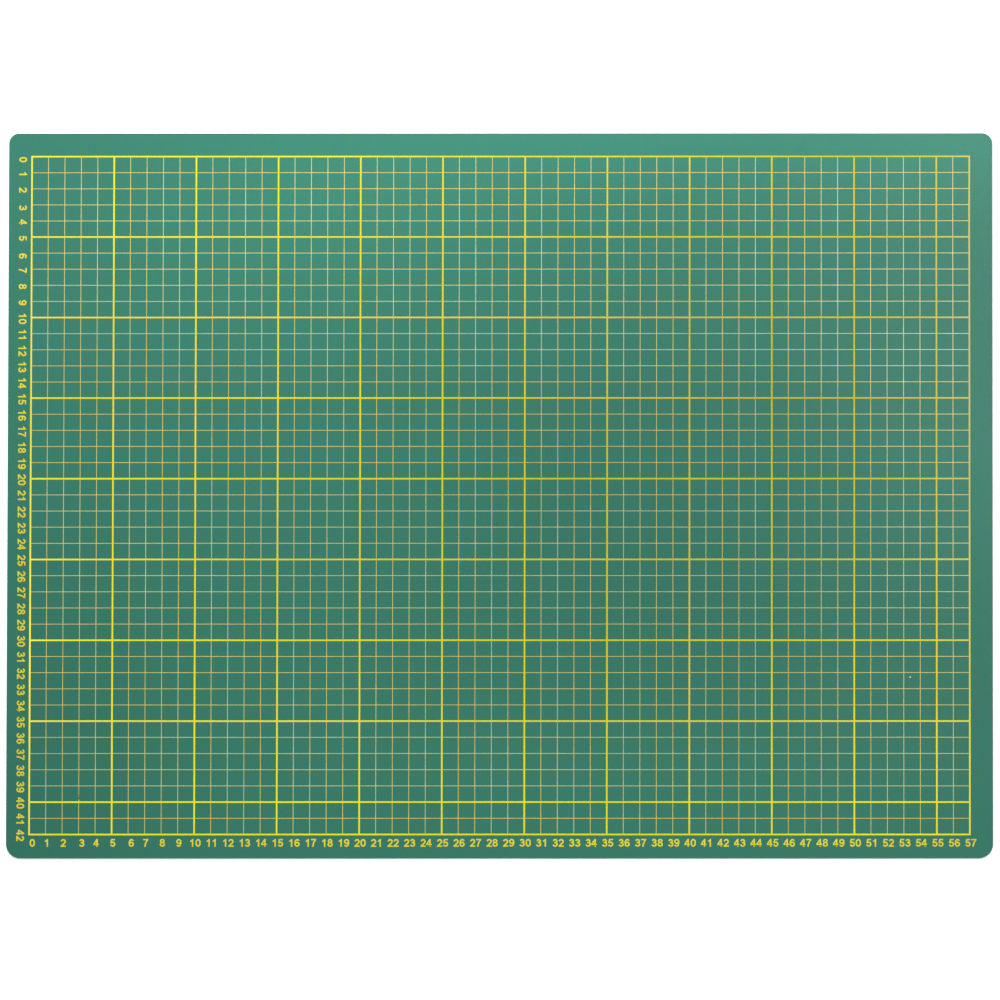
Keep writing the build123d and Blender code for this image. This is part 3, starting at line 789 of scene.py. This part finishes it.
def digit_solid(loops):
    """A digit as a closed film with a rounded rim, from its outlines."""
    lip = 0.012
    body = (INK_TOP - FACE_Z + SINK) / 2 - lip
    curve = bpy.data.curves.new("digit", "CURVE")
    curve.dimensions = "2D"
    curve.fill_mode = "BOTH"
    for loop in loops:
        s = curve.splines.new("POLY")
        s.points.add(len(loop) - 1)
        for p, (x, y) in zip(s.points, loop):
            p.co = (x, y, 0, 1)
        s.use_cyclic_u = True
    curve.extrude = body
    curve.bevel_depth = lip
    curve.bevel_resolution = 1
    curve.offset = SPREAD - lip
    obj = bpy.data.objects.new("digit", curve)
    bpy.context.scene.collection.objects.link(obj)
    bpy.context.view_layer.update()
    mesh = bpy.data.meshes.new_from_object(obj)
    verts = [tuple(v.co) for v in mesh.vertices]
    faces = [tuple(p.vertices) for p in mesh.polygons]
    bpy.data.objects.remove(obj)
    bpy.data.meshes.remove(mesh)
    bpy.data.curves.remove(curve)
    return weld(verts, faces)


def weld(verts, faces):
    """Joins points that lie on each other, so that the film is one closed skin."""
    seen, index, out = {}, [], []
    for v in verts:
        key = tuple(round(c, 4) for c in v)
        if key not in seen:
            seen[key] = len(out)
            out.append(v)
        index.append(seen[key])
    kept = []
    for f in faces:
        g = []
        for i in f:
            k = index[i]
            if not g or g[-1] != k:
                g.append(k)
        if len(g) > 1 and g[0] == g[-1]:
            g.pop()
        if len(set(g)) >= 3:
            kept.append(tuple(g))
    return out, kept


def number_places(count, odd_shift):
    """(digit, distance along the scale) of each printed digit."""
    out = []
    for n in range(count + 1):
        text = str(n)
        shift = 0.6 if len(text) == 2 else (odd_shift if n in (0, 3, 6) else 0.75)
        for k, c in enumerate(text):
            out.append((int(c), PITCH * n + shift + (k - (len(text) - 1) / 2) * DIGIT_ADVANCE))
    return out


def numbers(solids, places, to_mat):
    verts, faces = [], []
    middle = (FACE_Z - SINK + INK_TOP) / 2
    for digit, along in places:
        v, f = solids[digit]
        n = len(verts)
        for x, y, z in v:
            px, py = to_mat(along, x, y)
            px += wander(px, py, 1.6, 31, 0.03) + wander(px, py, 45.0, 33, 0.05)
            py += wander(px, py, 1.6, 32, 0.03) + wander(px, py, 45.0, 34, 0.05)
            verts.append((px, py, middle + z))
        faces += [tuple(i + n for i in q) for q in f]
    return verts, faces


# ------------------------------------------------------------------ build everything
MARKS = {"dark_fleck": (-2.0, -18.1), "pale_fleck": (248.9, -112.8)}

mat_face = pvc_green("green_pvc_printed_face", GREEN, marks=True)
mat_back = pvc_green("green_pvc_reverse", tuple(c * 0.96 for c in GREEN))
mat_white = pvc_plain("white_pvc_inner", (0.52, 0.53, 0.49), (0.38, 0.41, 0.37), 0.55)
mat_core = pvc_plain("hard_core_pvc", (0.30, 0.33, 0.32), (0.20, 0.23, 0.22), 0.34)
mat_bold = ink("yellow_print_bold", (0.711, 0.628, 0.002), (0.512, 0.506, 0.009), BOLD_PAINTED_LIGHT, pale=BOLD_PAINTED_SHEEN)
mat_fine = ink("yellow_print_fine", (0.526, 0.446, 0.115), (0.396, 0.368, 0.118), FINE_PAINTED_LIGHT, 0.16, FINE_PAINTED_SHEEN)
mat_number = ink("yellow_print_numbers", (0.645, 0.558, 0.016), (0.480, 0.460, 0.026), NUMBER_PAINTED_LIGHT)

PLY_LOOK = {
    "top_cutting_ply": (mat_face, "green_face"),
    "upper_inner_ply": (mat_white, "white_inner"),
    "rigid_core_ply": (mat_core, "hard_core"),
    "lower_inner_ply": (mat_white, "white_inner"),
    "bottom_cutting_ply": (mat_back, "green_reverse"),
}
for node, obj in build_plies().items():
    look, slot = PLY_LOOK[node]
    obj.data.materials.append(look)
    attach(obj, "root")
    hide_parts(node)

solids = {d: digit_solid(DIGITS[d]) for d in range(10)}
PRINT = (
    ("printed_border", border(), "grid_border_line", mat_bold, "print_bold"),
    ("printed_5_cm_lines", bold_lines(), "five_centimetre_lines", mat_bold, "print_bold"),
    ("printed_1_cm_lines", fine_lines(), "one_centimetre_lines", mat_fine, "print_fine"),
    (
        "printed_bottom_numbers",
        numbers(solids, number_places(COLUMNS, 2.0), lambda s, x, y: (X0 + s + x, BOTTOM_Y + y)),
        "bottom_scale_numbers",
        mat_number,
        "print_numbers",
    ),
    (
        "printed_left_numbers",
        numbers(solids, number_places(ROWS, 1.85), lambda s, x, y: (LEFT_X + y, Y0 - s - x)),
        "left_scale_numbers",
        mat_number,
        "print_numbers",
    ),
)
for name, (verts, faces), node, look, slot in PRINT:
    obj = new_object(name, verts, faces)
    obj.data.materials.append(look)
    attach(obj, "root")
    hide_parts(node)
    print(name, len(obj.data.polygons))

# ------------------------------------------------------------------ floor, light, camera
floor_mesh = bpy.data.meshes.new("floor")
R = 60.0
floor_mesh.from_pydata([(-R, -R, 0), (R, -R, 0), (R, R, 0), (-R, R, 0)], [], [(0, 1, 2, 3)])
floor = bpy.data.objects.new("floor", floor_mesh)
bpy.context.scene.collection.objects.link(floor)
floor.location.z = -0.0002
fm, fnt, fb, fco = material("pale_floor")
fcol = mix_rgb(
    fnt,
    ramp(fnt, noise_tex(fnt, fco, 1.3, 3.0), 0.35, 0.65, 0.0, 1.0),
    (0.96, 0.96, 0.96),
    (0.98, 0.98, 0.98),
)
fnt.links.new(fcol, fb.inputs["Base Color"])
fb.inputs["Roughness"].default_value = 0.9
fb.inputs["Emission Color"].default_value = (1.0, 1.0, 1.0, 1.0)
fb.inputs["Emission Strength"].default_value = 0.45
fb.inputs["Specular IOR Level"].default_value = 0.2
floor.data.materials.append(fm)

world = bpy.data.worlds.new("studio")
bpy.context.scene.world = world
world.use_nodes = True
world.node_tree.nodes["Background"].inputs["Color"].default_value = (1.0, 1.0, 1.0, 1.0)
world.node_tree.nodes["Background"].inputs["Strength"].default_value = 0.46


def softbox(name, place, target, size_x, size_y, watts, colour=(1.0, 1.0, 1.0)):
    data = bpy.data.lights.new(name, "AREA")
    data.shape = "RECTANGLE"
    data.size, data.size_y = size_x, size_y
    data.energy = watts
    data.color = colour
    obj = bpy.data.objects.new(name, data)
    bpy.context.scene.collection.objects.link(obj)
    obj.location = place
    obj.rotation_mode = "QUATERNION"
    obj.rotation_quaternion = (Vector(target) - Vector(place)).to_track_quat("-Z", "Y")
    obj.visible_camera = False
    return obj


LIGHTS = [
    ("box_far_left", (-0.7, 0.8, 0.9), (-0.15, 0.1, 0), 0.5, 0.5, 9.7),
    ("box_near", (0, -0.95, 0.9), (0, -0.1, 0), 0.8, 0.4, 2.32),
    ("box_near_right", (0.7, -0.7, 0.8), (0.2, -0.1, 0), 0.4, 0.4, 1.68),
    ("box_far_low", (0.1, 0.5, 0.42), (0.1, 0.2, 0), 0.7, 0.2, 2.24),
]
for spec in LIGHTS:
    softbox(*spec)
# two strips that only show as the haze on the right of the face
SHEEN = [
    ("strip_right", (0.34, 0.12, 0.30), (0.34, 0.06, 0), 0.08, 0.36, 1.2),
    ("strip_far_right", (0.36, 0.25, 0.30), (0.34, 0.19, 0), 0.08, 0.2, 0.6),
]
for spec in SHEEN:
    strip = softbox(*spec)
    strip.visible_diffuse = False
    strip.visible_transmission = False

# The camera looks down with a long lens, leaning a little towards the near edge.
LEAN, SIDE, ROLL = math.radians(11.511), math.radians(0.544), math.radians(-0.013)
LENS = 1200.0
PIXELS_PER_METRE = 1647.5  # across a frame 1000 pixels wide
distance = LENS / 36.0 * 1000.0 / PIXELS_PER_METRE
cam_data = bpy.data.cameras.new("camera")
cam_data.sensor_width = 36.0
cam_data.lens = LENS
cam_data.clip_start, cam_data.clip_end = 1.0, 100.0
cam = bpy.data.objects.new("camera", cam_data)
bpy.context.scene.collection.objects.link(cam)
aim = Vector((0.0, -0.0032, FACE_Z * MM))
turn = Matrix.Rotation(LEAN, 3, "X") @ Matrix.Rotation(SIDE, 3, "Y") @ Matrix.Rotation(ROLL, 3, "Z")
cam.location = aim + turn.col[2] * distance
cam.rotation_mode = "QUATERNION"
cam.rotation_quaternion = turn.to_quaternion()
bpy.context.scene.camera = cam

bpy.context.scene.view_settings.view_transform = "Standard"
bpy.context.scene.view_settings.look = "None"
bpy.context.scene.view_settings.exposure = 0.0
bpy.context.scene.view_settings.gamma = 1.0
